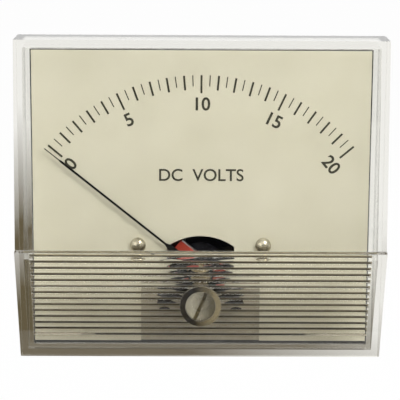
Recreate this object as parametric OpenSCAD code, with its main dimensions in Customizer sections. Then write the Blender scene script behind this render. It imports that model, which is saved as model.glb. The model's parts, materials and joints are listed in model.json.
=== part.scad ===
// Analog panel meter: a clear front with a grooved apron over a moving-coil movement.
// +Z is up, +X is to the right and the front faces -Y. The origin is on the barrel's
// axis, at the back of the flange, where the meter meets its panel. "Out" is how far
// something stands in front of the panel, and a negative one lies behind it.

/* [Front cover] */
// Width of the clear front
cover_w = 88.9; // [86:0.1:94]
// Height of the clear front
cover_h = 79.2; // [78:0.2:86]
// Thickness of the clear walls
cover_wall = 2; // [1.6:0.1:2.3]
// How far the upper edge of the window stands out
top_out = 12; // [10:0.5:13]
// How far the lower edge of the window stands out
window_out = 15.8; // [15:0.2:16.4]
// How far the upper edge of the apron stands out
apron_out = 17.4; // [17:0.2:19]
// How far the lower edge of the apron stands out
foot_out = 6; // [5:0.25:7]
// From the barrel's axis down to the ledge between window and apron
apron_drop = 10.3; // [9.8:0.1:10.8]
// Width of the lip along the back of the side walls
lip_w = 1.1; // [0.8:0.1:1.4]
// Height of the lip along the back of the lower wall
foot_lip = 0.8; // [0.6:0.1:1.4]

/* [Grooves] */
// Number of grooves across the apron
groove_count = 14; // [8:1:14]
// Distance from groove to groove, measured upright
groove_pitch = 1.68; // [1.5:0.02:1.72]
// Width of a groove at the apron's face
groove_w = 0.72; // [0.5:0.02:0.9]
// Width of a groove's flat floor
groove_floor_w = 0.3; // [0.2:0.02:0.4]
// Depth of a groove
groove_depth = 0.5; // [0.3:0.05:0.7]
// From the side of the cover to the grooves' ends
groove_margin = 3.6; // [3:0.2:6]

/* [Zero adjuster] */
// Radius of the collar round the adjuster
collar_r = 5; // [4.6:0.1:5.2]
// Radius of the adjuster's slotted head
adjuster_r = 3.6; // [3:0.1:3.9]
// Radius of the adjuster's shank
shank_r = 1.9; // [1.6:0.1:2.2]
// From the pointer's pivot down to the adjuster's axis
adjuster_drop = 6.4; // [6.2:0.1:6.8]
// How far the drive pin stands off the adjuster's axis
crank_r = 1.6; // [1.3:0.05:1.7]
// Direction of the screwdriver slot, from level
slot_angle = 67; // [0:1:180]

/* [Dial] */
// From the barrel's axis down to the pointer's pivot
pivot_drop = 18.2; // [17.5:0.1:18.7]
// Front face of the dial plate
dial_out = 3; // [2.8:0.1:3.1]
// Thickness of the dial plate
dial_t = 0.6; // [0.4:0.1:0.8]
// Gap between the dial plate and the cover's lip
dial_gap = 0.3; // [0.3:0.1:1]
// Gap below the dial plate
foot_gap = 1; // [0.5:0.1:2]
// Radius of the scale's outer edge
scale_r = 48.5; // [44:0.5:49]
// Angle from the first mark to the last
scale_sweep = 100; // [80:1:100]
// Length of the marks at the numbers
mark_long = 4.4; // [3.5:0.1:5]
// Length of the marks at whole units
mark_mid = 3.55; // [3:0.05:4]
// Length of the marks at half units
mark_short = 2.7; // [1.5:0.1:3]
// Half the spacing of the dial screws
dial_screw_x = 15.4; // [15:0.1:16.5]
// Radius of the dial screws' domed heads
dial_screw_r = 1.9; // [1.6:0.1:2]

/* [Pointer and coil] */
// Length of the pointer from the pivot to its tip
pointer_len = 48.8; // [44:0.2:49.4]
// Angle from upright at which the pointer rests
rest_angle = 51.2; // [48:0.2:52]
// Radius of the core inside the coil
core_r = 6.3; // [5.8:0.1:6.4]
// Width of the coil, seen from the front
coil_w = 5.6; // [4.8:0.1:5.8]
// Thickness of the winding
winding_t = 1.1; // [0.9:0.05:1.2]

/* [Magnet and poles] */
// Outer radius of the horseshoe magnet
magnet_r = 20; // [19:0.5:22]
// Radius of the bore between the pole pieces
pole_bore_r = 9.3; // [9.2:0.1:9.4]
// Depth of magnet and pole pieces, front to back
pole_t = 11; // [10:0.5:12]

/* [Case] */
// Outer radius of the round barrel
barrel_r = 34.9; // [34.4:0.1:35.2]
// Depth of the barrel behind the panel
barrel_len = 28; // [27:0.5:34]
// Thickness of the barrel's wall
barrel_wall = 2; // [1.6:0.1:2.4]
// Thickness of the barrel's end
barrel_floor = 2.5; // [2:0.1:3.5]
// Thickness of the flange inside the cover
flange_t = 1.6; // [1.4:0.1:1.7]

/* [Studs and terminals] */
// Diameter of the circle through the mounting studs
stud_circle = 80.2; // [79.6:0.1:81]
// Radius of a mounting stud
stud_r = 1.75; // [1.5:0.05:2]
// Length of a mounting stud behind the panel
stud_len = 14; // [10:0.5:20]
// Half the spacing of the two terminals
terminal_x = 14; // [12:0.5:16]
// Radius of a terminal stud
terminal_r = 3.1; // [2.4:0.1:3.2]
// Length of a terminal stud behind the barrel
terminal_len = 13; // [12:0.5:18]

/* [Hidden] */
$fn = 64;

// Clearances: a turning fit, and the air that moving parts keep from fixed ones
fit = 0.05;
air = 0.3;
// How far a cut runs past the face that it opens
over = 1;

// The cover's outline, seen from the side
cover_top = cover_h / 2;
ledge_z = -apron_drop;
bevel_out = 0.9;
bevel_drop = 0.35;
apron_top_z = ledge_z - bevel_drop;
window_slope = (window_out - top_out) / (cover_top - ledge_z);
apron_slope = (apron_out - foot_out) / (cover_top + apron_top_z);
apron_lean = atan(apron_slope);
inner_w = cover_w - 2 * cover_wall;
inner_top = cover_top - cover_wall;
inner_ledge_z = ledge_z - cover_wall;
first_groove_drop = 0.9;
groove_len = cover_w - 2 * groove_margin;
hip_run = 0.5;

// The lip's inner edges, which the flange fills
pocket_x = inner_w / 2 - lip_w;
pocket_top = inner_top - lip_w;
pocket_foot = foot_lip - inner_top;
lip_front_out = dial_out;

// The movement, from the front backwards
pivot_z = -pivot_drop;
pointer_t = 0.3;
pointer_back = dial_out + 1;
pointer_front = pointer_back + pointer_t;
collet_front = pointer_front + 1;
spring_back = pointer_front + 0.4;
spring_h = 0.5;
bridge_back = pointer_front + 1.9;
bridge_t = 0.8;
bridge_front = bridge_back + bridge_t;
arm_back = bridge_front + 0.1;
arm_t = 0.4;
arm_front = arm_back + arm_t;
nut_t = 1;
jewel_front = arm_front + nut_t + 0.6;
jewel_back = bridge_back - 0.6;
pole_front = -0.6;
pole_back = pole_front - pole_t;
coil_air = 0.6;
bobbin_t = 0.3;
coil_in_front = pole_front + coil_air;
coil_in_back = pole_back - coil_air;
coil_front = coil_in_front + bobbin_t + winding_t;
coil_back = coil_in_back - bobbin_t - winding_t;
coil_in_r = core_r + coil_air;
bobbin_r = coil_in_r + bobbin_t;
coil_r = bobbin_r + winding_t;
rear_hub = coil_back - 0.8;
rear_collet_back = rear_hub - 1;
rear_spring_back = rear_hub - 0.8;
rear_bridge_front = rear_collet_back - 1;
rear_bridge_back = rear_bridge_front - bridge_t;
rear_post_x = 11.6;
rear_post_r = 1.6;

// Small parts of the movement
pivot_r = 0.4;
jewel_r = 1.4;
hub_r = 1.2;
hub_disc_r = 1.8;
collet_r = 1;
spring_r = 3.7;
spring_t = 0.12;
spring_turns = 4;
tail_r = 4.1;
stop_r = 0.45;
stop_reach = 7.7;
root_half_w = 0.75;
stop_turn = asin((root_half_w + stop_r + air) / stop_reach);
bridge_hub_r = 3;
bridge_arm_w = 2.6;
stop_arm_w = 1.6;
cross_len = 5.2;
taper_len = 4.5;
foot_x = 8.8;
foot_z = pivot_z - 6.6;
foot_r = 1.7;
movement_r = barrel_r - barrel_wall - 1.2;
fix_x = 12.6;
fix_z = min(pivot_z - 5.5, -sqrt(pow(movement_r - 3.3, 2) - pow(fix_x, 2)));
fix_depth = 6;
fix_post_r = 2.2;
screw_r = 0.8;
dial_screw_z = pivot_z + 6.4;
pole_top_z = dial_screw_z + 2.4;
pole_foot_z = min(fix_z - 3.2, foot_z - 2.1);
pole_in_x = 5;

// The openings in the dial plate
opening_r = 8.3;
opening_z = pivot_z + 3.9;
opening_arc_r = 14;
opening_top_z = pivot_z + 8.7;
notch_x = 14.7;
notch_z = pivot_z - 2.6;
backing_t = 0.4;
backing_lap = 3;
backing_top_z = notch_z + 0.4;

// The zero adjuster in its collar
adjuster_z = pivot_z - adjuster_drop;
head_t = 2;
lip_t = 0.5;
lip_r = shank_r + 0.6;
boss_r = lip_r + 0.9;
crank_pin_r = 0.5;
fork_slack = 0.2;

// Terminals and studs
stud_head_r = 2.6;
stud_shoulder_r = stud_r + 0.45;
stud_head_t = 0.8;
stud_xy = stud_circle / 2 * cos(45);
pad_t = 1;
pad_r = 7.4;
terminal_z = 8;
washer_t = 0.8;
lug_t = 0.6;
lug_r = 5;
lug_len = 11.5;
terminal_nut_t = 4.5;
terminal_head_t = 3;
terminal_hex_r = 5.8;

// How far the window, the apron and their inner faces stand out at a height z
function window_at(z) = top_out + (cover_top - z) * window_slope;
function apron_at(z) = foot_out + (z + cover_top) * apron_slope;
function window_in(z) = window_at(z) - cover_wall * sqrt(1 + pow(window_slope, 2));
function apron_in(z) = apron_at(z) - cover_wall * sqrt(1 + pow(apron_slope, 2));

// The adjuster's stack, from the collar's face to the drive pin's end
collar_front = apron_at(adjuster_z + collar_r);
seat_out = apron_in(adjuster_z);
boss_back = seat_out - 0.7;
head_back = collar_front - 0.3 - head_t;
lip_front = seat_out - air;
lip_back = lip_front - lip_t;
crank_back = arm_back - 0.4;

// Lays a drawing made in X and Z upright, its depth growing out of the panel
module facing(out) {
    translate([0, -out, 0]) rotate([90, 0, 0]) children();
}

// A round piece from one distance out to another, at x and z
module rod(r, back, front, x = 0, z = 0) {
    translate([x, 0, z]) facing(back) cylinder(r = r, h = front - back);
}

// A six-sided piece, with r to its corners
module hex_rod(r, back, front, x = 0, z = 0) {
    translate([x, 0, z]) facing(back) cylinder(r = r, h = front - back, $fn = 6);
}

// A side outline, given as [y, z], made w wide across the cover
module across(w) {
    translate([-w / 2, 0, 0]) rotate([90, 0, 90]) linear_extrude(w) children();
}

// A flat bar with round ends from p to q
module bar(p, q, w) {
    run = q - p;
    translate(p) rotate(atan2(run[1], run[0])) {
        translate([0, -w / 2]) square([norm(run), w]);
        circle(r = w / 2);
    }
    translate(q) circle(r = w / 2);
}

// Wire of radius r through a list of points
module wire(points, r) {
    for (i = [0 : len(points) - 2]) {
        run = points[i + 1] - points[i];
        translate(points[i])
            rotate([0, acos(run[2] / norm(run)), atan2(run[1], run[0])])
                cylinder(r = r, h = norm(run), $fn = 24);
    }
    for (i = [1 : 1 : len(points) - 2]) translate(points[i]) sphere(r = r, $fn = 24);
}

// What turns with the coil, drawn with the pointer upright
module at_rest() {
    translate([0, 0, pivot_z]) rotate([0, -rest_angle, 0]) children();
}

module at_pivot() {
    translate([0, 0, pivot_z]) children();
}

// --- Front cover ---

module cover_outline() {
    polygon([
        [0, cover_top],
        [-top_out, cover_top],
        [-window_out, ledge_z],
        [bevel_out - apron_out, ledge_z],
        [-apron_out, apron_top_z],
        [-foot_out, -cover_top],
        [0, -cover_top]
    ]);
}

module cover_hollow() {
    polygon([
        [over, inner_top],
        [-window_in(inner_top), inner_top],
        [-window_in(inner_ledge_z), inner_ledge_z],
        [-apron_in(inner_ledge_z), inner_ledge_z],
        [-apron_in(-inner_top), -inner_top],
        [over, -inner_top]
    ]);
}

// The room in front of the lip, and the pocket inside the lip
module cover_room() {
    across(inner_w) intersection() {
        cover_hollow();
        translate([-apron_out, -cover_top]) square([apron_out - lip_front_out, cover_h]);
    }
    across(2 * pocket_x) intersection() {
        cover_hollow();
        translate([-apron_out, pocket_foot])
            square([apron_out + over, pocket_top - pocket_foot]);
    }
}

// A groove's section: wide at the apron's face and narrow at its floor
module groove_section(face_w, floor_w) {
    lift = 0.4;
    open_w = face_w + (face_w - floor_w) * lift / groove_depth;
    polygon([
        [-open_w / 2, lift], [open_w / 2, lift],
        [floor_w / 2, -groove_depth], [-floor_w / 2, -groove_depth]
    ]);
}

// A groove follows the apron's slope, and its ends rise as its flanks do
module groove(z) {
    translate([0, -apron_at(z), z]) rotate([90 + apron_lean, 0, 0]) intersection() {
        across(groove_len + over) groove_section(groove_w, groove_floor_w);
        translate([0, groove_w, 0]) rotate([90, 0, 0]) linear_extrude(2 * groove_w)
            groove_section(groove_len, groove_len - 2 * hip_run);
    }
}

module front_cover() {
    color([0.9, 0.93, 0.93, 0.35]) difference() {
        union() {
            difference() {
                union() {
                    difference() {
                        across(cover_w) cover_outline();
                        for (i = [0 : groove_count - 1])
                            groove(ledge_z - first_groove_drop - i * groove_pitch);
                    }
                    rod(collar_r, apron_in(adjuster_z - collar_r), collar_front,
                        0, adjuster_z);
                }
                cover_room();
            }
            rod(boss_r, boss_back, apron_at(adjuster_z), 0, adjuster_z);
        }
        rod(adjuster_r + fit, head_back - fit, collar_front + over, 0, adjuster_z);
        rod(shank_r + fit, boss_back - over, collar_front, 0, adjuster_z);
        rod(lip_r + air, boss_back - over, seat_out, 0, adjuster_z);
    }
}

module zero_adjuster() {
    slot_w = 0.9;
    slot_depth = 0.7;
    head_front = head_back + head_t;
    color([0.86, 0.88, 0.84, 0.6]) {
        difference() {
            union() {
                rod(adjuster_r, head_back, head_front, 0, adjuster_z);
                rod(shank_r, lip_back, head_back, 0, adjuster_z);
                rod(lip_r, lip_back, lip_front, 0, adjuster_z);
            }
            translate([0, 0, adjuster_z]) facing(head_front - slot_depth)
                rotate(slot_angle)
                    translate([-adjuster_r - over, -slot_w / 2, 0])
                        cube([2 * (adjuster_r + over), slot_w, slot_depth + over]);
        }
        rod(crank_pin_r, crank_back, lip_back, 0, adjuster_z + crank_r);
    }
}

// --- Case ---

module base_case() {
    color([0.06, 0.06, 0.07]) difference() {
        union() {
            facing(0) linear_extrude(flange_t) translate([-pocket_x, pocket_foot])
                square([2 * pocket_x, pocket_top - pocket_foot]);
            rod(barrel_r, -barrel_len, 0);
            for (x = [-terminal_x, terminal_x])
                rod(pad_r, -barrel_len - pad_t, -barrel_len, x, terminal_z);
        }
        difference() {
            rod(barrel_r - barrel_wall, barrel_floor - barrel_len, flange_t + over);
            for (x = [-fix_x, fix_x])
                rod(fix_post_r, -barrel_len, pole_back, x, fix_z);
        }
        for (x = [-fix_x, fix_x]) rod(screw_r, pole_back - fix_depth, pole_back + over, x, fix_z);
        for (x = [-terminal_x, terminal_x])
            rod(terminal_r, -barrel_len - pad_t - over, over - barrel_len + barrel_floor,
                x, terminal_z);
        for (i = [0 : 3]) stud(i);
    }
}

// A mounting stud: its shoulder fills the flange, and its head is let into the front
module stud(i) {
    x = stud_xy * (i % 2 == 0 ? -1 : 1);
    z = stud_xy * (i < 2 ? 1 : -1);
    rod(stud_r, -stud_len, 0, x, z);
    rod(stud_shoulder_r, 0, flange_t, x, z);
    rod(stud_head_r, flange_t - stud_head_t, flange_t, x, z);
}

module mounting_stud(i) {
    color([0.78, 0.77, 0.72]) stud(i);
}

module terminal_stud(x) {
    inner = barrel_floor - barrel_len;
    color([0.8, 0.66, 0.36]) {
        rod(terminal_r, -barrel_len - terminal_len, inner, x, terminal_z);
        hex_rod(terminal_hex_r, inner, inner + terminal_head_t, x, terminal_z);
    }
}

module terminal_ring(r, x, start, t, sides) {
    back = -barrel_len - pad_t - start - t;
    difference() {
        translate([x, 0, terminal_z]) facing(back) cylinder(r = r, h = t, $fn = sides);
        rod(terminal_r, back - over, back + t + over, x, terminal_z);
    }
}

module terminal_washer(x) {
    color([0.75, 0.75, 0.73]) terminal_ring(5.6, x, 0, washer_t, 64);
}

module solder_lug(x) {
    back = -barrel_len - pad_t - washer_t - lug_t;
    color([0.8, 0.8, 0.78]) difference() {
        translate([x, 0, terminal_z]) facing(back) linear_extrude(lug_t) {
            circle(r = lug_r);
            bar([0, 0], [0, lug_len], 3);
        }
        rod(terminal_r, back - over, over - barrel_len, x, terminal_z);
        rod(0.8, back - over, over - barrel_len, x, terminal_z + lug_len - 0.3);
    }
}

module terminal_nut(x) {
    color([0.8, 0.66, 0.36])
        terminal_ring(terminal_hex_r, x, washer_t + lug_t, terminal_nut_t, 6);
}

// --- Dial ---

module dial_opening() {
    intersection() {
        translate([0, opening_top_z - opening_arc_r]) circle(r = opening_arc_r);
        union() {
            translate([0, opening_z]) circle(r = opening_r);
            translate([-opening_r, opening_z]) square([2 * opening_r, opening_r]);
        }
    }
}

module dial_plate() {
    half_w = pocket_x - dial_gap;
    top = pocket_top - dial_gap;
    foot = pocket_foot + foot_gap;
    color([0.86, 0.84, 0.75]) difference() {
        facing(dial_out - dial_t) linear_extrude(dial_t) difference() {
            translate([-half_w, foot]) square([2 * half_w, top - foot]);
            dial_opening();
            translate([-notch_x, foot - over])
                square([2 * notch_x, notch_z - foot + over]);
        }
        for (x = [-dial_screw_x, dial_screw_x])
            rod(screw_r, 0, dial_out + over, x, dial_screw_z);
    }
}

// A sheet on the dial's back that closes the notch round the bridge's feet
module backing_plate() {
    foot = pocket_foot + foot_gap;
    half_w = notch_x + backing_lap;
    color([0.64, 0.61, 0.53]) difference() {
        facing(dial_out - dial_t - backing_t) linear_extrude(backing_t)
            translate([-half_w, foot]) square([2 * half_w, backing_top_z - foot]);
        for (x = [-foot_x, foot_x])
            rod(foot_r + air, 0, dial_out, x, foot_z);
    }
}

// Every fifth whole unit has a number, and the finest marks are half units
module scale_marks() {
    half_units = 40;
    ink = 0.05;
    color([0.16, 0.15, 0.1])
        for (i = [0 : half_units]) {
            long = i % 10 == 0 ? mark_long : i % 2 == 0 ? mark_mid : mark_short;
            wide = i % 2 == 0 ? 0.48 : 0.24;
            turn = scale_sweep * (0.5 - i / half_units);
            at_pivot() facing(dial_out) linear_extrude(ink) rotate(turn)
                translate([-wide / 2, scale_r - long]) square([wide, long]);
        }
}

module domed_screw(head_r, seat, rim, dome, shank, x, z) {
    dome_r = (head_r * head_r + dome * dome) / (2 * dome);
    color([0.72, 0.7, 0.64]) {
        rod(screw_r, seat - shank, seat, x, z);
        difference() {
            union() {
                rod(head_r, seat, seat + rim, x, z);
                intersection() {
                    translate([x, dome_r - seat - rim - dome, z]) sphere(r = dome_r);
                    rod(head_r, seat, seat + rim + dome + over, x, z);
                }
            }
            translate([x, -seat - rim - dome, z])
                cube([2 * head_r + over, 1, 0.5], center = true);
        }
    }
}

module dial_screw(x) {
    domed_screw(dial_screw_r, dial_out, 0.7, 1, dial_out + 3, x, dial_screw_z);
}

module dial_post(x) {
    color([0.75, 0.74, 0.7]) difference() {
        rod(1.8, pole_front, dial_out - dial_t, x, dial_screw_z);
        rod(screw_r, pole_front - over, dial_out, x, dial_screw_z);
    }
}

// --- Magnet and poles ---

module magnet() {
    leg_in = magnet_r / 2;
    color([0.33, 0.34, 0.36]) facing(pole_back) linear_extrude(pole_t) difference() {
        union() {
            circle(r = magnet_r);
            translate([-magnet_r, pole_top_z]) square([2 * magnet_r, -pole_top_z]);
        }
        circle(r = leg_in);
        translate([-leg_in, pole_top_z - over]) square([2 * leg_in, over - pole_top_z]);
        translate([-magnet_r - over, -2 * magnet_r])
            square([2 * (magnet_r + over), 2 * magnet_r + pole_top_z]);
    }
}

module pole_piece(side) {
    color([0.62, 0.62, 0.6]) difference() {
        facing(pole_back) linear_extrude(pole_t) difference() {
            intersection() {
                translate([side > 0 ? pole_in_x : -magnet_r, pole_foot_z])
                    square([magnet_r - pole_in_x, pole_top_z - pole_foot_z]);
                circle(r = movement_r);
            }
            translate([0, pivot_z]) circle(r = pole_bore_r);
        }
        rod(screw_r, -4, over, side * dial_screw_x, dial_screw_z);
        rod(screw_r, pole_back - over, over, side * fix_x, fix_z);
        rod(screw_r, -4, over, side * foot_x, foot_z);
        rod(screw_r, pole_back - over, pole_back + 3, side * rear_post_x, pivot_z);
        core_pin(side);
    }
}

module movement_screw(x) {
    domed_screw(1.7, pole_front, 0.7, 0.8, pole_t + 5, x, fix_z);
}

module core_pin(side) {
    start = core_r / 2;
    translate([side > 0 ? start : -start - pole_bore_r, -(pole_front + pole_back) / 2, pivot_z])
        rotate([0, 90, 0]) cylinder(r = 0.8, h = pole_bore_r);
}

module core_pins() {
    color([0.8, 0.66, 0.36]) for (side = [-1, 1]) core_pin(side);
}

module core() {
    color([0.55, 0.55, 0.54]) difference() {
        rod(core_r, pole_back, pole_front, 0, pivot_z);
        for (side = [-1, 1]) core_pin(side);
    }
}

// --- Bridges ---

module front_bridge() {
    stop_x = stop_reach * sin(rest_angle + stop_turn);
    stop_z = stop_reach * cos(rest_angle + stop_turn);
    color([0.8, 0.68, 0.42]) difference() {
        union() {
            at_pivot() facing(bridge_back) linear_extrude(bridge_t) {
                circle(r = bridge_hub_r);
                for (side = [-1, 1]) {
                    bar([0, 0], [side * foot_x, foot_z - pivot_z], bridge_arm_w);
                    bar([0, 0], [side * stop_x, stop_z], stop_arm_w);
                }
            }
            for (x = [-foot_x, foot_x]) rod(foot_r, pole_front, bridge_front, x, foot_z);
        }
        rod(jewel_r, bridge_back - over, bridge_front + over, 0, pivot_z);
        for (x = [-foot_x, foot_x])
            rod(screw_r, pole_front - over, bridge_front + over, x, foot_z);
    }
}

module bridge_screw(x) {
    domed_screw(1.5, bridge_front, 0.5, 0.4, bridge_front + 3, x, foot_z);
}

// A screw with a cup for the pivot in one end and a slot across the other
module jewel_screw(cup, far) {
    out = far > cup ? 1 : -1;
    color([0.85, 0.75, 0.5]) difference() {
        rod(jewel_r, min(cup, far), max(cup, far), 0, pivot_z);
        rod(pivot_r + fit, min(cup - out, cup + out), max(cup - out, cup + out), 0, pivot_z);
        translate([0, -far, pivot_z]) cube([4, 1, 0.4], center = true);
    }
}

module front_jewel_screw() {
    jewel_screw(jewel_back, jewel_front);
}

module lock_nut(back) {
    color([0.8, 0.66, 0.36]) difference() {
        hex_rod(2.6, back, back + nut_t, 0, pivot_z);
        rod(jewel_r, back - over, back + nut_t + over, 0, pivot_z);
    }
}

module front_lock_nut() {
    lock_nut(arm_front + 0.1);
}

// The arm turns on the jewel screw: a fork below, a tail for the hairspring above
module zero_arm() {
    fork_end = adjuster_drop - crank_r + 1.4;
    slot_w = 2 * (crank_pin_r + fork_slack);
    color([0.85, 0.72, 0.42]) {
        difference() {
            at_pivot() facing(arm_back) linear_extrude(arm_t) difference() {
                union() {
                    circle(r = 2.3);
                    translate([-1.7, -fork_end]) square([3.4, fork_end]);
                    translate([-0.5, 0]) square([1, tail_r + 0.4]);
                }
                translate([-slot_w / 2, -fork_end - over])
                    square([slot_w, over + 2.4]);
            }
            rod(jewel_r + fit, arm_back - over, arm_front + over, 0, pivot_z);
        }
        at_pivot() facing(spring_back) linear_extrude(arm_front - spring_back)
            translate([-0.5, tail_r - 0.3]) square([1, 0.7]);
    }
}

module pointer_stops() {
    color([0.7, 0.69, 0.66]) at_pivot() for (side = [-1, 1])
        rotate([0, side * (rest_angle + stop_turn), 0])
            rod(stop_r, pointer_back - 0.4, bridge_back, 0, stop_reach);
}

module rear_bridge() {
    color([0.8, 0.68, 0.42]) difference() {
        union() {
            at_pivot() facing(rear_bridge_back) linear_extrude(bridge_t) {
                bar([-rear_post_x, 0], [rear_post_x, 0], 2 * rear_post_r);
                circle(r = bridge_hub_r);
            }
            for (x = [-rear_post_x, rear_post_x])
                rod(rear_post_r, rear_bridge_back, pole_back, x, pivot_z);
        }
        rod(jewel_r, rear_bridge_back - over, rear_bridge_front + over, 0, pivot_z);
        for (x = [-rear_post_x, rear_post_x])
            rod(screw_r, rear_bridge_back - over, pole_back + over, x, pivot_z);
    }
}

module rear_bridge_screws() {
    color([0.72, 0.7, 0.64]) for (x = [-rear_post_x, rear_post_x]) {
        rod(screw_r, rear_bridge_back, pole_back + 3, x, pivot_z);
        rod(1.5, rear_bridge_back - 1, rear_bridge_back, x, pivot_z);
    }
}

module rear_jewel_screw() {
    jewel_screw(rear_bridge_front + 0.6, rear_bridge_back - nut_t - 0.6);
}

module rear_lock_nut() {
    lock_nut(rear_bridge_back - nut_t);
}

module rear_abutment() {
    color([0.85, 0.72, 0.42]) at_pivot() facing(rear_bridge_front)
        linear_extrude(rear_hub - rear_bridge_front - air)
            translate([spring_r + spring_t / 2, -0.5]) square([0.7, 1]);
}

// --- Moving coil ---

// A ring round the core, seen from its narrow side, cut across to width w
module coil_ring(r, in_r, front, in_front, back, in_back, w) {
    translate([-w / 2, 0, 0]) rotate([90, 0, 90]) linear_extrude(w) difference() {
        translate([-front, -r]) square([front - back, 2 * r]);
        translate([-in_front, -in_r]) square([in_front - in_back, 2 * in_r]);
    }
}

module coil_frame() {
    edge = 0.3;
    rim = 0.7;
    side = (coil_w - edge) / 2;
    color([0.75, 0.76, 0.77]) at_rest() {
        coil_ring(bobbin_r, coil_in_r, coil_in_front + bobbin_t, coil_in_front,
            coil_in_back - bobbin_t, coil_in_back, coil_w);
        for (x = [-side, side]) translate([x, 0, 0])
            coil_ring(bobbin_r + rim, coil_in_r, coil_in_front + bobbin_t + rim,
                coil_in_front, coil_in_back - bobbin_t - rim, coil_in_back, edge);
    }
}

module coil_winding() {
    color([0.72, 0.2, 0.14]) at_rest()
        coil_ring(coil_r, bobbin_r, coil_front, coil_in_front + bobbin_t,
            coil_back, coil_in_back - bobbin_t, coil_w - 0.6);
}

module front_pivot() {
    color([0.62, 0.62, 0.6]) at_rest() {
        rod(hub_r, coil_front, pointer_back, 0, 0);
        rod(collet_r, pointer_front, collet_front, 0, 0);
        rod(pivot_r, pointer_back, jewel_back + 0.6, 0, 0);
    }
}

module rear_pivot() {
    color([0.62, 0.62, 0.6]) at_rest() {
        rod(hub_r, rear_hub, coil_back, 0, 0);
        rod(collet_r, rear_collet_back, rear_hub, 0, 0);
        rod(pivot_r, rear_bridge_front, rear_collet_back, 0, 0);
    }
}

// The blade narrows from its root to a fine tip that reaches over the scale
module pointer() {
    blade = 0.25;
    tip = 0.09;
    neck_r = 11;
    tip_r = pointer_len - taper_len;
    color([0.08, 0.08, 0.08]) at_rest() difference() {
        union() {
            rod(hub_disc_r, pointer_back, pointer_front, 0, 0);
            facing(pointer_back) linear_extrude(pointer_t) polygon([
                [-root_half_w, 0.8], [-root_half_w, neck_r - 1.5],
                [-blade, neck_r], [-blade, tip_r - 0.6], [-tip, tip_r],
                [-tip, pointer_len], [tip, pointer_len], [tip, tip_r],
                [blade, tip_r - 0.6], [blade, neck_r], [root_half_w, neck_r - 1.5],
                [root_half_w, 0.8]
            ]);
        }
        rod(pivot_r, pointer_back - over, pointer_front + over, 0, 0);
    }
}

module cross_arm(turn) {
    rotate([0, turn, 0]) facing(pointer_back) linear_extrude(pointer_t)
        translate([-0.25, hub_disc_r - 0.4]) square([0.5, cross_len]);
}

module balance_cross() {
    color([0.12, 0.12, 0.12]) at_rest() difference() {
        for (turn = [90, 180, 270]) cross_arm(turn);
        rod(hub_disc_r, pointer_back - over, pointer_front + over, 0, 0);
    }
}

module balance_weights() {
    color([0.75, 0.74, 0.7]) at_rest() for (turn = [90, 180, 270]) difference() {
        rotate([0, turn, 0]) translate([0, -pointer_back - pointer_t / 2, 5])
            cylinder(r = 0.65, h = 1.3);
        cross_arm(turn);
    }
}

// Points on one side of a flat spiral, side = -1 inside and 1 outside
function spiral(side, first, last, turns, steps) = [
    for (i = [0 : steps])
        let (r = first + (last - first) * i / steps + side * spring_t / 2)
        r * [cos(360 * turns * i / steps), sin(360 * turns * i / steps)]
];

module hairspring(back) {
    steps = 18 * spring_turns;
    inside = spiral(-1, collet_r + spring_t / 2, spring_r, spring_turns, steps);
    outside = spiral(1, collet_r + spring_t / 2, spring_r, spring_turns, steps);
    reversed = [for (i = [steps : -1 : 0]) outside[i]];
    facing(back) linear_extrude(spring_h) polygon(concat(inside, reversed));
}

module front_hairspring() {
    color([0.8, 0.6, 0.3]) at_pivot() rotate([0, -90, 0]) hairspring(spring_back);
}

module rear_hairspring() {
    color([0.8, 0.6, 0.3]) at_pivot() hairspring(rear_spring_back);
}

// --- Wiring ---

terminal_inner_y = barrel_len - barrel_floor - terminal_head_t;
resistor_x = -21;
resistor_len = 11;
resistor_foot_z = -8;
resistor_bend_z = resistor_foot_z + resistor_len + 3;
resistor_y = -pole_back + 4;
lead_x = 16;
lead_z = pivot_z + 4.3;

module resistor() {
    color([0.66, 0.55, 0.4]) translate([resistor_x, resistor_y, resistor_foot_z])
        cylinder(r = 2.2, h = resistor_len);
    color([0.75, 0.75, 0.73]) wire([
        [resistor_x, resistor_y, resistor_foot_z + resistor_len],
        [resistor_x, resistor_y, resistor_bend_z],
        [-terminal_x, resistor_y, terminal_z],
        [-terminal_x, terminal_inner_y, terminal_z]
    ], 0.4);
}

module lead_left() {
    color([0.7, 0.12, 0.1]) wire([
        [resistor_x, resistor_y, resistor_foot_z],
        [resistor_x, resistor_y, lead_z],
        [-lead_x, resistor_y, lead_z],
        [-lead_x, -pole_back, lead_z]
    ], 0.5);
}

module lead_right() {
    color([0.1, 0.1, 0.1]) wire([
        [lead_x, terminal_inner_y, terminal_z],
        [lead_x, resistor_y, terminal_z],
        [lead_x, resistor_y, lead_z],
        [lead_x, -pole_back, lead_z]
    ], 0.5);
}

front_cover();
zero_adjuster();
base_case();
dial_plate();
scale_marks();
backing_plate();
dial_screw(-dial_screw_x);  // dial_screw_left
dial_screw(dial_screw_x);  // dial_screw_right
dial_post(-dial_screw_x);  // dial_post_left
dial_post(dial_screw_x);  // dial_post_right
magnet();
pole_piece(-1);  // pole_piece_left
pole_piece(1);  // pole_piece_right
movement_screw(-fix_x);  // movement_screw_left
movement_screw(fix_x);  // movement_screw_right
core();
core_pins();
front_bridge();
bridge_screw(-foot_x);  // bridge_screw_left
bridge_screw(foot_x);  // bridge_screw_right
front_jewel_screw();
front_lock_nut();
zero_arm();
pointer_stops();
rear_bridge();
rear_bridge_screws();
rear_jewel_screw();
rear_lock_nut();
rear_abutment();
coil_frame();
coil_winding();
front_pivot();
rear_pivot();
pointer();
balance_cross();
balance_weights();
front_hairspring();
rear_hairspring();
resistor();
lead_left();
lead_right();
mounting_stud(0);  // mounting_stud_1
mounting_stud(1);  // mounting_stud_2
mounting_stud(2);  // mounting_stud_3
mounting_stud(3);  // mounting_stud_4
terminal_stud(-terminal_x);  // terminal_stud_left
terminal_stud(terminal_x);  // terminal_stud_right
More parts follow.
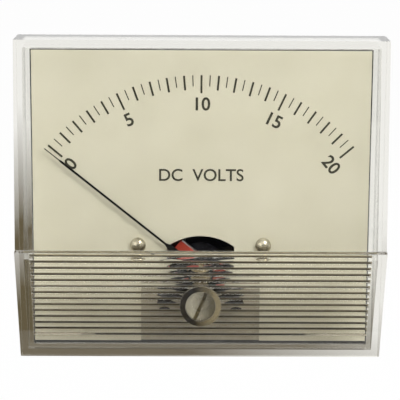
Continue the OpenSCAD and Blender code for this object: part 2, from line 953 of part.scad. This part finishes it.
terminal_washer(-terminal_x);  // terminal_washer_left
terminal_washer(terminal_x);  // terminal_washer_right
solder_lug(-terminal_x);  // solder_lug_left
solder_lug(terminal_x);  // solder_lug_right
terminal_nut(-terminal_x);  // terminal_nut_left
terminal_nut(terminal_x);  // terminal_nut_right
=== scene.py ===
import json
import math

import bmesh
import bpy
from mathutils import Matrix, Vector


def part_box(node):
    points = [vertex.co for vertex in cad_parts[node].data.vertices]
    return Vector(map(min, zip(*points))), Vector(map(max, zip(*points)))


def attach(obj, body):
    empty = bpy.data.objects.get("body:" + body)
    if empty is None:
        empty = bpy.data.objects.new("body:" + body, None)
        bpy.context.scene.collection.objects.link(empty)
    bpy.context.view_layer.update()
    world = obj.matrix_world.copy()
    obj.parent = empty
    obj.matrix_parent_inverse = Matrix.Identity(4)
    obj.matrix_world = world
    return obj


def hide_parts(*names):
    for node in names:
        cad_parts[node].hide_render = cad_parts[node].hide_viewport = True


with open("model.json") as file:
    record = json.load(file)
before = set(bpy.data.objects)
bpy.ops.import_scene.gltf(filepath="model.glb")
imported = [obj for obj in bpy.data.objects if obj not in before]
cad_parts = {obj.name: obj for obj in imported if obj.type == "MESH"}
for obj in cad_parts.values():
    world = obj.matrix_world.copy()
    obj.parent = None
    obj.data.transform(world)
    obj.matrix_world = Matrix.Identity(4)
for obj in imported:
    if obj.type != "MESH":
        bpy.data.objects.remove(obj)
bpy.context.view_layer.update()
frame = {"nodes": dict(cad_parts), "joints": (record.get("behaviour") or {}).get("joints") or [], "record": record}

# The analog panel meter dressed for its picture. Metres, in the frame of the CAD model:
# +Z up, +X right, the front faces -Y, and the origin is on the barrel's axis at the
# back of the flange. The CAD pieces keep their places and get their materials here.
# Some are stood for by copies with eased edges or by pieces with real threads, and the
# dial gets its numbers and unit. The stage, lamps and camera come last.

MM = 0.001
NODES = frame["nodes"]
PIVOT = Vector(next(j for j in frame["joints"] if j["name"] == "pointer_swing")["pos_m"])
DIAL_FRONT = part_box("dial_plate")[0].y

# The clear front's apron, as the part's source has it. The grooves are measured down the
# leaning apron, from its top edge. The middles of a groove's faces lie GROOVE_DEPTHS deep.
APRON_TOP_Z = -10.65 * MM
APRON_FOOT_Y = -6 * MM
FIRST_GROOVE = 0.591 * MM
GROOVE_PITCH = 1.8055 * MM
GROOVE_COUNT = 14
GROOVE_HALF_LENGTH = 40.9 * MM
GROOVE_DEPTHS = (0.08 * MM, 0.6 * MM)
RIB_CROWN = 0.15 * MM

# The collar round the adjuster, with a little to spare, and how far behind the
# adjuster's front the middles of its slot's faces lie.
COLLAR_ZONE_R = 5.1 * MM
COLLAR_BACK_Y = -9 * MM
SLOT_DEPTHS = (0.1 * MM, 0.9 * MM)

# Threads, as radius, pitch and depth, and the plain forms in front of them.
STUD_THREAD = (1.75 * MM, 0.7 * MM, 0.22 * MM)
STUD_HEAD_T = 0.8 * MM
STUD_SHOULDER_R = 2.2 * MM
TERMINAL_THREAD = (3.1 * MM, 0.9 * MM, 0.28 * MM)
TERMINAL_HEAD_T = 3 * MM
THREAD_BEFORE_NUT = 0.3 * MM

# The dial's print. Turns are in degrees from straight up, and a weight makes the
# typeface bolder by that much on each side of a stroke.
NUMBERS = (0, 5, 10, 15, 20)
NUMBER_RING_R = 41.3 * MM
FIRST_NUMBER_TURN = -50
NUMBER_TURN = 25
NUMBER_SIZE = 4.4 * MM
NUMBER_WEIGHT = 0.085 * MM
UNIT_Z = 5.6 * MM
UNIT_SIZE = 4.2 * MM
UNIT_WEIGHT = 0.05 * MM
HALF_INK = 0.02 * MM

ACRYLIC_IOR = 1.49
BACKGROUND_WHITE = 0.97  # how bright the floor and the world look, where 1 is white
WORLD_LIGHT = 0.5  # how strongly the world lights matt surfaces


# --- Nodes ---

def new_material(name):
    """A material, its node tree and its Principled shader."""
    mat = bpy.data.materials.new(name)
    mat.use_nodes = True
    tree = mat.node_tree
    return mat, tree, tree.nodes["Principled BSDF"]


def object_noise(tree, scale, stretch=(1, 1, 1)):
    """Noise that is fixed to the object, with scale in waves a metre."""
    coords = tree.nodes.new("ShaderNodeTexCoord")
    mapping = tree.nodes.new("ShaderNodeMapping")
    mapping.inputs["Scale"].default_value = stretch
    noise = tree.nodes.new("ShaderNodeTexNoise")
    noise.inputs["Scale"].default_value = scale
    noise.inputs["Detail"].default_value = 4.0
    tree.links.new(coords.outputs["Object"], mapping.inputs["Vector"])
    tree.links.new(mapping.outputs["Vector"], noise.inputs["Vector"])
    return noise.outputs["Fac"]


def coordinate(tree, kind, axis):
    """How far along an axis a point lies, in Object or Generated coordinates."""
    coords = tree.nodes.new("ShaderNodeTexCoord")
    split = tree.nodes.new("ShaderNodeSeparateXYZ")
    tree.links.new(coords.outputs[kind], split.inputs[0])
    return split.outputs[axis]


def compute(tree, operation, *values, clamp=False):
    """A Math node's result. Each value is a plain number or another node's output."""
    node = tree.nodes.new("ShaderNodeMath")
    node.operation = operation
    node.use_clamp = clamp
    for socket, value in zip(node.inputs, values):
        if isinstance(value, (int, float)):
            socket.default_value = value
        else:
            tree.links.new(value, socket)
    return node.outputs[0]


def ramp(tree, value, low, high, start=0.3, end=0.7):
    """Turns a value into a colour: low up to start, high from end on, mixed between."""
    node = tree.nodes.new("ShaderNodeValToRGB")
    node.color_ramp.elements[0].position = start
    node.color_ramp.elements[1].position = end
    node.color_ramp.elements[0].color = (*low, 1)
    node.color_ramp.elements[1].color = (*high, 1)
    tree.links.new(value, node.inputs["Fac"])
    return node.outputs["Color"]


def spread(tree, value, low, high):
    """Maps a value from 0 to 1 onto a range of plain numbers."""
    node = tree.nodes.new("ShaderNodeMapRange")
    node.inputs["To Min"].default_value = low
    node.inputs["To Max"].default_value = high
    tree.links.new(value, node.inputs["Value"])
    return node.outputs["Result"]


def bump(tree, shader, value, height):
    """Gives a surface relief that many metres high."""
    node = tree.nodes.new("ShaderNodeBump")
    node.inputs["Strength"].default_value = 1.0
    node.inputs["Distance"].default_value = height
    tree.links.new(value, node.inputs["Height"])
    tree.links.new(node.outputs["Normal"], shader.inputs["Normal"])


# --- Materials ---

def surface(name, low, high, scale, rough, metallic=0.0, relief=0.0, stretch=(1, 1, 1),
            specular=0.5):
    """A surface whose colour and roughness wander between two values."""
    mat, tree, shader = new_material(name)
    value = object_noise(tree, scale, stretch)
    tree.links.new(ramp(tree, value, low, high), shader.inputs["Base Color"])
    tree.links.new(spread(tree, value, *rough), shader.inputs["Roughness"])
    shader.inputs["Metallic"].default_value = metallic
    shader.inputs["Specular IOR Level"].default_value = specular
    if relief:
        bump(tree, shader, object_noise(tree, scale * 3, stretch), relief)
    return mat


def clear_plastic(name, tint, rough):
    """Clear acrylic. Light that casts shadows passes straight through it."""
    mat, tree, shader = new_material(name)
    shader.inputs["Base Color"].default_value = (*tint, 1)
    shader.inputs["Transmission Weight"].default_value = 1.0
    shader.inputs["IOR"].default_value = ACRYLIC_IOR
    value = object_noise(tree, scale=300)
    tree.links.new(spread(tree, value, *rough), shader.inputs["Roughness"])
    path = tree.nodes.new("ShaderNodeLightPath")
    through = tree.nodes.new("ShaderNodeBsdfTransparent")
    through.inputs["Color"].default_value = (*tint, 1)
    mix = tree.nodes.new("ShaderNodeMixShader")
    tree.links.new(path.outputs["Is Shadow Ray"], mix.inputs["Fac"])
    tree.links.new(shader.outputs["BSDF"], mix.inputs[1])
    tree.links.new(through.outputs["BSDF"], mix.inputs[2])
    tree.links.new(mix.outputs["Shader"], tree.nodes["Material Output"].inputs["Surface"])
    return mat


def toned_plastic(name, left, right, middle_x, reach, rough, relief):
    """Milky plastic with painted light and shade: one colour at its left, another at its right.

    The colour changes within reach to each side of middle_x.
    """
    mat, tree, shader = new_material(name)
    place = tree.nodes.new("ShaderNodeMapRange")
    place.inputs["From Min"].default_value = middle_x - reach
    place.inputs["From Max"].default_value = middle_x + reach
    tree.links.new(coordinate(tree, "Object", "X"), place.inputs["Value"])
    tree.links.new(ramp(tree, place.outputs["Result"], left, right, 0.25, 0.85),
                   shader.inputs["Base Color"])
    shader.inputs["Transmission Weight"].default_value = 0.75
    shader.inputs["IOR"].default_value = ACRYLIC_IOR
    shader.inputs["Roughness"].default_value = rough
    bump(tree, shader, object_noise(tree, scale=600), relief)
    return mat


def crown_ribs(mat, down, first):
    """Relief that makes each rib between two grooves a small lens.

    down points down the apron, and first is the first groove's place along it.
    """
    tree = mat.node_tree
    coords = tree.nodes.new("ShaderNodeTexCoord")
    dot = tree.nodes.new("ShaderNodeVectorMath")
    dot.operation = "DOT_PRODUCT"
    dot.inputs[1].default_value = down
    tree.links.new(coords.outputs["Object"], dot.inputs[0])
    along = dot.outputs["Value"]
    turns = 2 * math.pi / GROOVE_PITCH
    phase = compute(tree, "MULTIPLY_ADD", along, turns, -turns * first)
    crown = compute(tree, "MULTIPLY_ADD", compute(tree, "COSINE", phase), -0.5, 0.5)

    side = compute(tree, "ABSOLUTE", coordinate(tree, "Object", "X"))
    end = first + (GROOVE_COUNT - 0.5) * GROOVE_PITCH
    field = compute(tree, "MULTIPLY",
                    compute(tree, "LESS_THAN", side, GROOVE_HALF_LENGTH),
                    compute(tree, "LESS_THAN", along, end))
    bump(tree, tree.nodes["Principled BSDF"], compute(tree, "MULTIPLY", crown, field),
         RIB_CROWN)


def wound_wire(name):
    """Red enamelled wire, laid turn beside turn."""
    mat, tree, shader = new_material(name)
    coords = tree.nodes.new("ShaderNodeTexCoord")
    wave = tree.nodes.new("ShaderNodeTexWave")
    wave.bands_direction = "X"
    wave.inputs["Scale"].default_value = 1400
    wave.inputs["Distortion"].default_value = 1.5
    tree.links.new(coords.outputs["Object"], wave.inputs["Vector"])
    tree.links.new(ramp(tree, wave.outputs["Fac"], (0.28, 0.02, 0.012), (0.62, 0.07, 0.035)),
                   shader.inputs["Base Color"])
    bump(tree, shader, wave.outputs["Fac"], 0.05 * MM)
    shader.inputs["Roughness"].default_value = 0.35
    return mat


def make_materials():
    """One material for each of the record's slots."""
    return {
        "clear_front": clear_plastic("ClearAcrylic", (0.985, 0.985, 0.965), (0.0, 0.03)),
        # The adjuster's colour is painted light and shade, pale at its left and dark at its right.
        "clear_adjuster": toned_plastic(
            "ClearAdjuster", (0.85, 0.81, 0.65), (0.28, 0.25, 0.17),
            middle_x=0, reach=3.6 * MM, rough=0.06, relief=0.2 * MM),
        "case_black": surface(
            "BlackPhenolic", (0.010, 0.010, 0.011), (0.022, 0.021, 0.021),
            scale=260, rough=(0.2, 0.34), relief=0.008 * MM, specular=0.3),
        "dial_enamel": surface(
            "IvoryEnamel", (0.608, 0.577, 0.453), (0.655, 0.623, 0.5),
            scale=90, rough=(0.45, 0.6), relief=0.006 * MM, specular=0.3),
        "dial_print": surface(
            "DialInk", (0.030, 0.029, 0.018), (0.055, 0.052, 0.034),
            scale=900, rough=(0.5, 0.7), relief=0.005 * MM, specular=0.3),
        "screw_steel": surface(
            "NickelSteel", (0.38, 0.345, 0.25), (0.66, 0.61, 0.48),
            scale=700, rough=(0.12, 0.3), metallic=1.0, relief=0.02 * MM),
        # The magnet is dark, and its colour is darkened further as painted shade for the inside of the case.
        "magnet_alloy": surface(
            "MagnetAlloy", (0.035, 0.035, 0.04), (0.07, 0.07, 0.075),
            scale=500, rough=(0.45, 0.65), metallic=1.0, relief=0.03 * MM),
        # The pole iron is coloured near black as painted shade, for the dark inside of the case.
        "pole_iron": surface(
            "PoleIron", (0.005, 0.005, 0.008), (0.011, 0.011, 0.016),
            scale=600, rough=(0.3, 0.5), relief=0.01 * MM, stretch=(1, 8, 1),
            specular=0.12),
        "plate_grey": surface(
            "GreyPlate", (0.34, 0.30, 0.22), (0.42, 0.38, 0.29),
            scale=400, rough=(0.5, 0.7), relief=0.01 * MM, specular=0.3),
        "brass": surface(
            "Brass", (0.46, 0.38, 0.22), (0.66, 0.57, 0.38),
            scale=600, rough=(0.16, 0.34), metallic=1.0, relief=0.01 * MM),
        "coil_aluminium": surface(
            "CoilAluminium", (0.55, 0.55, 0.55), (0.68, 0.68, 0.68),
            scale=700, rough=(0.3, 0.45), metallic=1.0, relief=0.005 * MM),
        "coil_enamel": wound_wire("RedEnamel"),
        "pointer_black": surface(
            "PointerBlack", (0.004, 0.004, 0.004), (0.012, 0.011, 0.010),
            scale=800, rough=(0.4, 0.6), specular=0.1),
        "plated_steel": surface(
            "PlatedSteel", (0.5, 0.5, 0.48), (0.68, 0.68, 0.65),
            scale=500, rough=(0.25, 0.45), metallic=1.0, relief=0.01 * MM),
        "spring_bronze": surface(
            "SpringBronze", (0.42, 0.24, 0.09), (0.6, 0.38, 0.16),
            scale=900, rough=(0.25, 0.4), metallic=1.0),
        "resistor_body": surface(
            "ResistorBody", (0.36, 0.24, 0.11), (0.46, 0.32, 0.16),
            scale=500, rough=(0.4, 0.6), relief=0.02 * MM),
        "lead_red": surface(
            "RedInsulation", (0.36, 0.012, 0.010), (0.46, 0.02, 0.014),
            scale=500, rough=(0.35, 0.5)),
        "lead_black": surface(
            "BlackInsulation", (0.010, 0.010, 0.010), (0.02, 0.02, 0.02),
            scale=500, rough=(0.35, 0.5)),
    }


def dress(obj, mat):
    """Gives a piece one material all over."""
    obj.data.materials.clear()
    obj.data.materials.append(mat)


def dress_nodes(materials):
    """Every CAD node takes the material of the slot that its record names."""
    for row in frame["record"]["subparts"]:
        dress(NODES[row["node"]], materials[row["material_slot"]])


def settle(piece, materials, slot, body="case"):
    """Gives a new piece its slot's material, and puts it under its body's empty."""
    dress(piece, materials[slot])
    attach(piece, body)


# --- Pieces that stand for CAD nodes ---

def bevelled_copy(node, name, width, segments=2):
    """A copy of a CAD node with its edges eased, which then stands for the node."""
    mesh = NODES[node].data.copy()
    work = bmesh.new()
    work.from_mesh(mesh)
    # Facets that lie flat beside each other become one face, so that only edges are eased.
    bmesh.ops.remove_doubles(work, verts=work.verts, dist=0.002 * MM)
    bmesh.ops.dissolve_limit(work, angle_limit=math.radians(1), verts=work.verts,
                             edges=work.edges)
    work.to_mesh(mesh)
    work.free()
    copy = bpy.data.objects.new(name, mesh)
    bpy.context.collection.objects.link(copy)
    ease = copy.modifiers.new("ease", "BEVEL")
    ease.width = width
    ease.segments = segments
    ease.limit_method = "ANGLE"
    ease.angle_limit = math.radians(25)
    for face in mesh.polygons:
        face.use_smooth = False
    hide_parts(node)
    return copy


def dress_cover(cover):
    """The cover's ribs, grooves, collar and eased edges get looks of their own.

    The grooves' floors and flanks are tinted darker as painted shade. The collar's walls
    carry painted shade, its front ring painted light and shade, and the eased edges a
    painted highlight.
    """
    collar_low, collar_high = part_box("zero_adjuster")
    axis_z = (collar_low.z + collar_high.z) / 2
    cover_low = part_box("front_cover")[0]
    top = Vector((0, cover_low.y, APRON_TOP_Z))
    foot = Vector((0, APRON_FOOT_Y, cover_low.z))
    down = (foot - top).normalized()
    inward = Vector((1, 0, 0)).cross(down)

    # Painted shade: the grooves' floors and flanks are tinted dark brown.
    groove_shade = clear_plastic("GrooveShade", (0.2, 0.165, 0.1), (0.08, 0.2))
    ribbed = clear_plastic("RibbedAcrylic", (0.975, 0.97, 0.94), (0.0, 0.03))
    crown_ribs(ribbed, down, top.dot(down) + FIRST_GROOVE)
    # Painted shade: the collar's walls are tinted dark, and its front ring is painted dark at the left and light
    # at the right.
    collar_wall_shade = clear_plastic("CollarWallShade", (0.3, 0.24, 0.13), (0.02, 0.12))
    collar_rim_shade = toned_plastic("CollarRimShade", (0.012, 0.009, 0.004), (0.6, 0.5, 0.29),
                        middle_x=0.8 * MM, reach=4.5 * MM, rough=0.15, relief=0.06 * MM)
    # Painted highlight: the eased edges are pale and partly opaque, so they show as bright lines.
    edge_glint = surface("EdgeGlint", (0.72, 0.7, 0.62), (0.92, 0.9, 0.84),
                   scale=700, rough=(0.12, 0.25))
    edge_glint_shader = edge_glint.node_tree.nodes["Principled BSDF"]
    edge_glint_shader.inputs["Transmission Weight"].default_value = 0.35
    looks = (groove_shade, ribbed, collar_wall_shade, collar_rim_shade, edge_glint)
    for mat in looks:
        cover.data.materials.append(mat)
    index = {mat: 1 + k for k, mat in enumerate(looks)}
    cover.modifiers["ease"].material = index[edge_glint]

    # Outside the collar, faces on the apron's plane are ribs. Inside, walls run along Y.
    rim_y = min(vert.co.y for vert in cover.data.vertices
                if math.hypot(vert.co.x, vert.co.z - axis_z) < COLLAR_ZONE_R)
    for face in cover.data.polygons:
        middle = face.center
        depth = (middle - top).dot(inward)
        if math.hypot(middle.x, middle.z - axis_z) > COLLAR_ZONE_R:
            if (GROOVE_DEPTHS[0] < depth < GROOVE_DEPTHS[1]
                    and abs(middle.x) < GROOVE_HALF_LENGTH + 0.3 * MM):
                face.material_index = index[groove_shade]
            elif abs(depth) < 0.02 * MM and face.normal.dot(inward) < -0.99:
                face.material_index = index[ribbed]
        elif middle.y < COLLAR_BACK_Y:
            if abs(face.normal.y) < 0.3:
                face.material_index = index[collar_wall_shade]
            elif face.normal.y < -0.9 and middle.y < rim_y + 0.1 * MM:
                face.material_index = index[collar_rim_shade]


def dress_slot(adjuster):
    """The adjuster's screwdriver slot gets darker walls and floor, as painted shade."""
    adjuster.data.materials.append(clear_plastic("SlotShade", (0.36, 0.31, 0.2), (0.05, 0.2)))
    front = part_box("zero_adjuster")[0].y
    for face in adjuster.data.polygons:
        if SLOT_DEPTHS[0] < face.center.y - front < SLOT_DEPTHS[1]:
            face.material_index = 1


def smooth_case(case):
    """The case's round barrel is shaded smooth, and its corners stay sharp."""
    case.data.shade_smooth()
    case.data.set_sharp_from_angle(angle=math.radians(30))
    case.modifiers["ease"].harden_normals = True


ROUND, HEX, THREAD = "round", "hex", "thread"
SIDES = 36
RINGS_A_TURN = 8


def ring_reach(shape, radius, y, side, thread, tip):
    """How far from its axis a ring's corner lies, on one of the ring's sides."""
    if shape == HEX:
        turn = 2 * math.pi * side / SIDES
        return radius * math.cos(math.pi / 6) / math.cos(turn % (math.pi / 3) - math.pi / 6)
    if shape == THREAD:
        _, pitch, depth = thread
        phase = (y / pitch + side / SIDES) % 1.0
        ridge = radius - depth * (1 - abs(2 * phase - 1))
        chamfer = radius - 1.2 * depth + (tip - y)
        return min(ridge, chamfer)
    return radius


def threaded(node, name, thread, root, tip, front):
    """A turned piece along Y that stands for a node, with a real thread from root to tip.

    front lists (y, radius, shape) from the front's centre to the root, where the shape is
    ROUND or HEX, and its corners are sharp.
    """
    radius, pitch, _ = thread
    count = round((tip - root) / (pitch / RINGS_A_TURN))
    rings = front + [(root + (tip - root) * k / count, radius, THREAD)
                     for k in range(count + 1)]
    low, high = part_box(node)
    x, z = (low.x + high.x) / 2, (low.z + high.z) / 2
    verts = []
    for y, ring_r, shape in rings:
        for side in range(SIDES):
            turn = 2 * math.pi * side / SIDES
            reach = ring_reach(shape, ring_r, y, side, thread, tip)
            verts.append((x + reach * math.cos(turn), y, z + reach * math.sin(turn)))
    faces = [tuple(range(SIDES))]
    for ring in range(0, (len(rings) - 1) * SIDES, SIDES):
        for i in range(SIDES):
            j = (i + 1) % SIDES
            faces.append((ring + i, ring + SIDES + i, ring + SIDES + j, ring + j))
    last = (len(rings) - 1) * SIDES
    faces.append(tuple(last + i for i in reversed(range(SIDES))))
    mesh = bpy.data.meshes.new(name)
    mesh.from_pydata(verts, [], faces)
    work = bmesh.new()
    work.from_mesh(mesh)
    bmesh.ops.recalc_face_normals(work, faces=work.faces)
    work.to_mesh(mesh)
    work.free()
    made = bpy.data.objects.new(name, mesh)
    bpy.context.collection.objects.link(made)
    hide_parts(node)
    return made


def make_studs(materials):
    """Each mounting stud: a head, a shoulder in the flange and a thread behind it."""
    for i in range(1, 5):
        node = f"mounting_stud_{i}"
        low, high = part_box(node)
        head_r = (high.x - low.x) / 2
        head_back = low.y + STUD_HEAD_T
        front = [(low.y, head_r, ROUND), (head_back, head_r, ROUND),
                 (head_back, STUD_SHOULDER_R, ROUND), (0, STUD_SHOULDER_R, ROUND)]
        stud = threaded(node, f"threaded_stud_{i}", STUD_THREAD, 0, high.y, front)
        settle(stud, materials, "plated_steel")


def make_terminals(materials):
    """Each terminal: a stud with a hexagon head inside the barrel, and its eased nut."""
    for side in ("left", "right"):
        node = f"terminal_stud_{side}"
        low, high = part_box(node)
        head_r = (high.x - low.x) / 2
        head_back = low.y + TERMINAL_HEAD_T
        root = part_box(f"terminal_nut_{side}")[0].y - THREAD_BEFORE_NUT
        radius = TERMINAL_THREAD[0]
        front = [(low.y, head_r, HEX), (head_back, head_r, HEX),
                 (head_back, radius, ROUND), (root, radius, ROUND)]
        stud = threaded(node, f"threaded_terminal_{side}", TERMINAL_THREAD, root, high.y,
                        front)
        nut = bevelled_copy(f"terminal_nut_{side}", f"eased_nut_{side}",
                            width=0.35 * MM, segments=3)
        settle(stud, materials, "brass")
        settle(nut, materials, "brass")


# --- Lettering ---

def letters(text, name, size, place, weight, turn=0.0):
    """Printed characters that lie on the dial, centred on a place given as (x, z)."""
    curve = bpy.data.curves.new(name, "FONT")
    curve.body = text
    curve.size = size
    curve.align_x = "CENTER"
    curve.align_y = "CENTER"
    curve.offset = weight
    curve.extrude = HALF_INK
    made = bpy.data.objects.new(name, curve)
    bpy.context.collection.objects.link(made)
    made.rotation_euler = (math.radians(90), turn, 0)
    made.location = (place[0], DIAL_FRONT - HALF_INK, place[1])
    return made


def dial_lettering(materials):
    """The numbers stand round the scale, and the unit below its middle."""
    for k, number in enumerate(NUMBERS):
        turn = math.radians(FIRST_NUMBER_TURN + NUMBER_TURN * k)
        place = (PIVOT.x + NUMBER_RING_R * math.sin(turn),
                 PIVOT.z + NUMBER_RING_R * math.cos(turn))
        piece = letters(str(number), f"number_{number}", NUMBER_SIZE, place, NUMBER_WEIGHT,
                        turn)
        settle(piece, materials, "dial_print")
    unit = letters("DC  VOLTS", "unit_label", UNIT_SIZE, (0, UNIT_Z), UNIT_WEIGHT)
    settle(unit, materials, "dial_print")


# --- Studio ---

def showing_rays(tree):
    """1 for the rays by which the camera, metal and clear pieces show a background."""
    path = tree.nodes.new("ShaderNodeLightPath")
    seen_or_mirrored = compute(tree, "ADD", path.outputs["Is Camera Ray"],
                               path.outputs["Is Glossy Ray"])
    return compute(tree, "ADD", seen_or_mirrored, path.outputs["Is Transmission Ray"],
                   clamp=True)


def floor_material():
    """A floor that looks plain white where it is seen, and keeps a faint shadow."""
    mat, tree, shader = new_material("FloorWhite")
    shader.inputs["Base Color"].default_value = (0.85, 0.85, 0.84, 1)
    shader.inputs["Roughness"].default_value = 0.9
    glow = tree.nodes.new("ShaderNodeEmission")
    mix = tree.nodes.new("ShaderNodeMixShader")
    tree.links.new(compute(tree, "MULTIPLY", showing_rays(tree), BACKGROUND_WHITE),
                   mix.inputs["Fac"])
    tree.links.new(shader.outputs["BSDF"], mix.inputs[1])
    tree.links.new(glow.outputs["Emission"], mix.inputs[2])
    tree.links.new(mix.outputs["Shader"], tree.nodes["Material Output"].inputs["Surface"])
    return mat


def plane(name, centre, size, facing):
    """A flat sheet that looks along a direction. It belongs to the stage."""
    bpy.ops.mesh.primitive_plane_add(size=1)
    sheet = bpy.context.object
    sheet.name = name
    sheet.scale = (*size, 1)
    sheet.rotation_euler = Vector(facing).to_track_quat("Z", "Y").to_euler()
    sheet.location = centre
    return sheet


def glowing_card(name, place, size, facing):
    """A self-lit stage card that the camera, matt surfaces and shadows leave out.

    It comes with its node tree and the emission node that holds its colour.
    """
    card = plane(name, place, size, facing)
    card.visible_camera = False
    card.visible_diffuse = False
    card.visible_shadow = False
    mat, tree, _ = new_material(name + "_look")
    glow = tree.nodes.new("ShaderNodeEmission")
    tree.links.new(glow.outputs["Emission"], tree.nodes["Material Output"].inputs["Surface"])
    dress(card, mat)
    return card, tree, glow


def shade_card(name, place, size, facing, across, up, base):
    """A card that is seen through clear pieces alone, and gives their walls their shade.

    Its tone goes from brown at 0 to white at 1. It is base at the card's corner, and
    grows by across along its width and by up along its height.
    """
    card, tree, glow = glowing_card(name, place, size, facing)
    card.visible_glossy = False
    tone = compute(tree, "MULTIPLY_ADD", coordinate(tree, "Generated", "X"), across, base)
    tone = compute(tree, "MULTIPLY_ADD", coordinate(tree, "Generated", "Y"), up, tone)
    tree.links.new(ramp(tree, tone, (0.13, 0.105, 0.06), (0.9, 0.89, 0.86), 0, 1),
                   glow.inputs["Color"])


def flag(name, place, size, facing, shade, strength=1.0, through=True):
    """A card that reflections show: a dark flag, or a bright strip.

    With through, clear pieces show it as well, in what passes through them.
    """
    card, _, glow = glowing_card(name, place, size, facing)
    card.visible_transmission = through
    glow.inputs["Color"].default_value = (*shade, 1)
    glow.inputs["Strength"].default_value = strength


def make_world():
    """White all round where it shows, and half as bright where it lights the meter."""
    world = bpy.data.worlds.new("Studio")
    bpy.context.scene.world = world
    world.use_nodes = True
    tree = world.node_tree
    background = tree.nodes["Background"]
    background.inputs["Color"].default_value = (1, 1, 0.99, 1)
    tree.links.new(spread(tree, showing_rays(tree), WORLD_LIGHT, BACKGROUND_WHITE),
                   background.inputs["Strength"])


def area_lamp(name, place, target, size, power):
    """A square lamp that faces its target."""
    data = bpy.data.lights.new(name, "AREA")
    data.size = size
    data.energy = power
    lamp = bpy.data.objects.new(name, data)
    bpy.context.collection.objects.link(lamp)
    lamp.location = place
    lamp.rotation_euler = (Vector(target) - Vector(place)).to_track_quat("-Z", "Y").to_euler()


def make_studio():
    """A pale floor below, white all round, a soft key from the upper right."""
    floor = plane("floor", (0, 0.2, -0.14), (6, 6), (0, 0, 1))
    dress(floor, floor_material())

    # The left side and the foot of the clear front look brown, and its top lip stays pale.
    shade_card("card_behind", (0, 0.07, -0.02), (0.3, 0.2), (0, -1, 0),
               across=3.9, up=6.0, base=-4.18)
    shade_card("card_below", (0, -0.01, -0.075), (0.3, 0.2), (0, 0, 1),
               across=0.1, up=0.0, base=0.0)
    shade_card("card_over_barrel", (0, 0.9 * MM, 37.6 * MM), (0.086, 0.0044), (0, -1, 0),
               across=0.0, up=0.0, base=1.0)

    # The window and the dial's opening stay free of glare, and the ribs keep a glint.
    flag("flag_front", (0, -1.0, -0.02), (0.5, 0.5), (0, 1, 0), (0.02, 0.02, 0.022))
    flag("flag_below", (0, -0.25, -0.135), (0.28, 0.36), (0, 0, 1), (0.06, 0.055, 0.04))
    flag("strip_below", (0, -0.22, -0.133), (0.5, 0.03), (0, 0, 1), (1, 0.98, 0.92),
         strength=5.0, through=False)

    make_world()
    area_lamp("key", (0.32, -0.5, 0.5), (0, 0, 0), size=0.3, power=2.7)
    area_lamp("fill", (-0.5, -0.6, 0.2), (0, 0, 0), size=0.5, power=0.9)
    area_lamp("back", (0.1, 0.6, 0.5), (0, 0.02, 0), size=0.4, power=2.5)


def make_camera():
    """A long lens, a little above the meter and almost square to it.

    The numbers were fitted to the meter's outline in the photo.
    """
    distance = 0.40769
    elevation = math.radians(11.78)
    azimuth = math.radians(-0.4)
    roll = math.radians(0.32)
    aim = Vector((-0.178 * MM, 0, -1.164 * MM))
    data = bpy.data.cameras.new("Camera")
    data.lens = 148.5
    data.clip_start = 0.01
    cam = bpy.data.objects.new("Camera", data)
    bpy.context.collection.objects.link(cam)
    back = Vector((math.sin(azimuth) * math.cos(elevation),
                   -math.cos(azimuth) * math.cos(elevation), math.sin(elevation)))
    level = (-back).cross(Vector((0, 0, 1))).normalized()
    upright = level.cross(-back)
    right = level * math.cos(roll) + upright * math.sin(roll)
    up = upright * math.cos(roll) - level * math.sin(roll)
    cam.matrix_world = Matrix.Translation(aim + back * distance) @ Matrix(
        (right, up, back)).transposed().to_4x4()
    bpy.context.scene.camera = cam


def main():
    materials = make_materials()
    dress_nodes(materials)

    cover = bevelled_copy("front_cover", "clear_front", width=0.12 * MM)
    settle(cover, materials, "clear_front")
    dress_cover(cover)

    adjuster = bevelled_copy("zero_adjuster", "slotted_adjuster", width=0.1 * MM)
    settle(adjuster, materials, "clear_adjuster", "adjuster")
    dress_slot(adjuster)

    case = bevelled_copy("base_case", "black_case", width=0.3 * MM, segments=3)
    settle(case, materials, "case_black")
    smooth_case(case)

    make_studs(materials)
    make_terminals(materials)
    dial_lettering(materials)
    make_studio()
    make_camera()
    bpy.context.scene.view_settings.view_transform = "Standard"


main()
